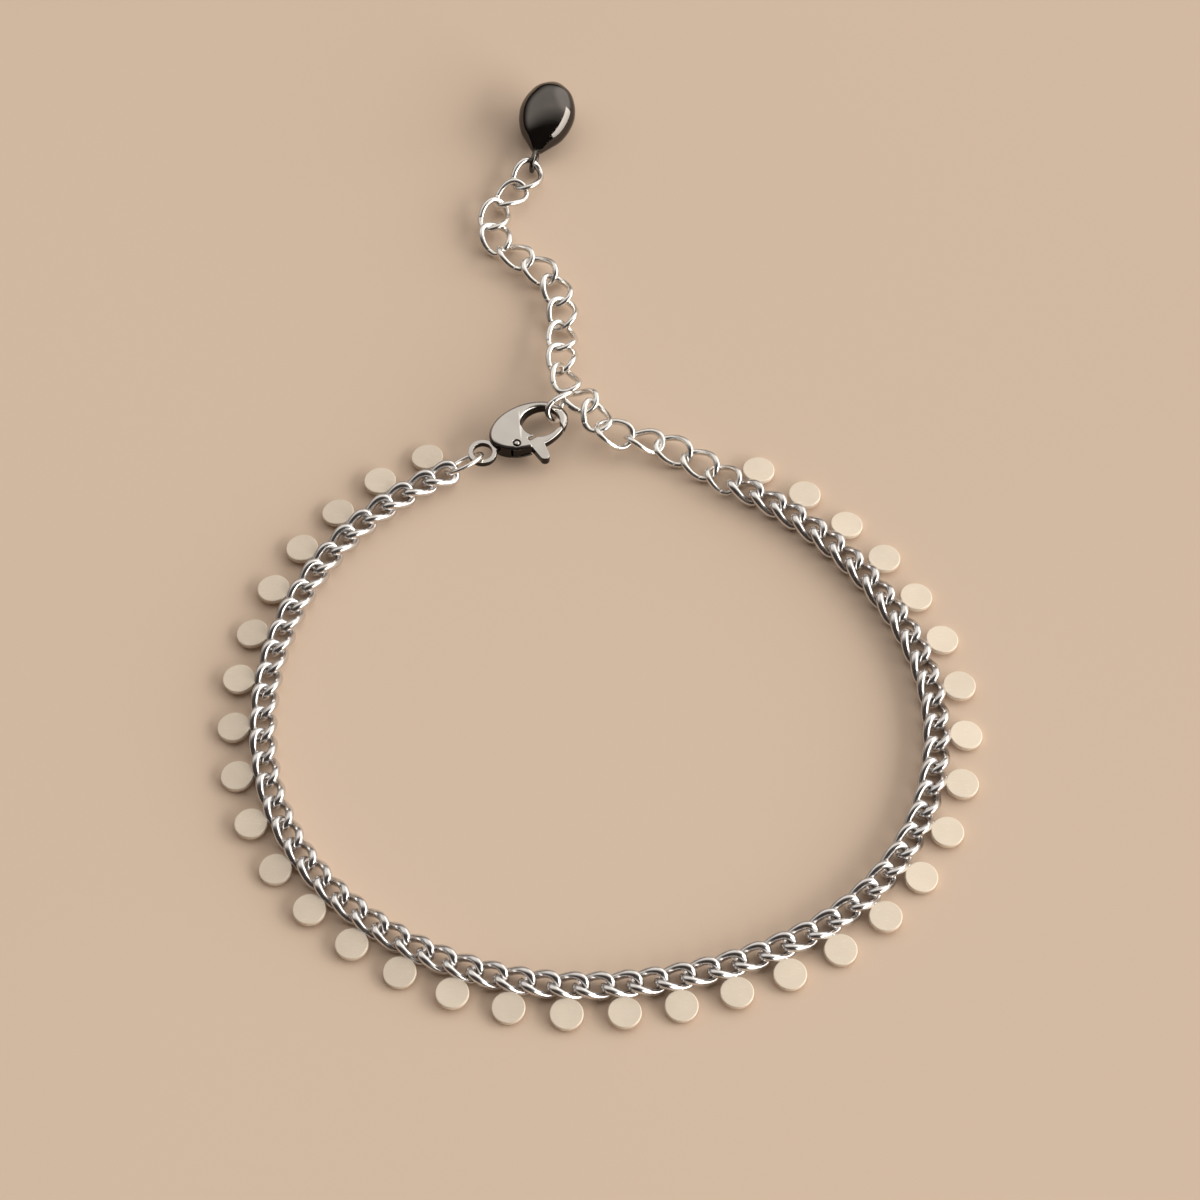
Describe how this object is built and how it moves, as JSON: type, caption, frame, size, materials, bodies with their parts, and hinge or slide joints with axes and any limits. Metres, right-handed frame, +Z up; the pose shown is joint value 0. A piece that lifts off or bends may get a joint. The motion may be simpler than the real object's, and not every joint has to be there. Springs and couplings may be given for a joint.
{
  "type": "coin bracelet",
  "caption": "Steel curb-chain bracelet with small plain discs along its outer edge, closed by a lobster clasp on an extension chain that ends in a drop charm.",
  "frame": {"origin": "middle of the underside of the whole bracelet, lying closed with its free end laid straight out", "axes": "+Z up from the table, +Y from the near side of the loop towards the clasp and the drop charm, +X to the right of the clasp's hook"},
  "size_m": [0.0648, 0.0972, 0.0038],
  "materials": {
    "coin_chain_steel": "satin discs on a polished curb chain",
    "extension_steel": "polished wire",
    "polished_steel": "mirror polished, dark on the upright walls",
    "dark_steel": "mirror polished, almost black"
  },
  "bodies": {
    "bracelet": {"coin_link_01": "coin_chain_steel", "coin_link_02": "coin_chain_steel", "coin_link_03": "coin_chain_steel", "coin_link_04": "coin_chain_steel", "coin_link_05": "coin_chain_steel", "coin_link_06": "coin_chain_steel", "coin_link_07": "coin_chain_steel", "coin_link_08": "coin_chain_steel", "coin_link_09": "coin_chain_steel", "coin_link_10": "coin_chain_steel", "coin_link_11": "coin_chain_steel", "coin_link_12": "coin_chain_steel", "coin_link_13": "coin_chain_steel", "coin_link_14": "coin_chain_steel", "coin_link_15": "coin_chain_steel", "coin_link_16": "coin_chain_steel", "coin_link_17": "coin_chain_steel", "coin_link_18": "coin_chain_steel", "coin_link_19": "coin_chain_steel", "coin_link_20": "coin_chain_steel", "coin_link_21": "coin_chain_steel", "coin_link_22": "coin_chain_steel", "coin_link_23": "coin_chain_steel", "coin_link_24": "coin_chain_steel", "coin_link_25": "coin_chain_steel", "coin_link_26": "coin_chain_steel", "coin_link_27": "coin_chain_steel", "coin_link_28": "coin_chain_steel", "coin_link_29": "coin_chain_steel", "coin_link_30": "coin_chain_steel", "coin_link_31": "coin_chain_steel", "coin_link_32": "coin_chain_steel", "coin_link_33": "coin_chain_steel", "coin_link_34": "coin_chain_steel", "chain_jump_ring": "extension_steel", "extension_chain_loop": "extension_steel", "extension_chain_tail": "extension_steel", "clasp_jump_ring": "extension_steel", "drop_charm": "dark_steel", "clasp_body": "polished_steel", "clasp_pin": "polished_steel"},
    "lever": {"clasp_lever": "polished_steel"}
  },
  "joints": [
    {"name": "lever_hinge", "type": "hinge", "parent": "bracelet", "child": "lever", "pos_m": [-0.00724, 0.00855, 0.00139], "axis": [-0.0093, -0.0049, 0.9999], "range_deg": [0, 14], "stiffness_Nm_per_rad": 0.0005, "springref_deg": -14.32}
  ]
}
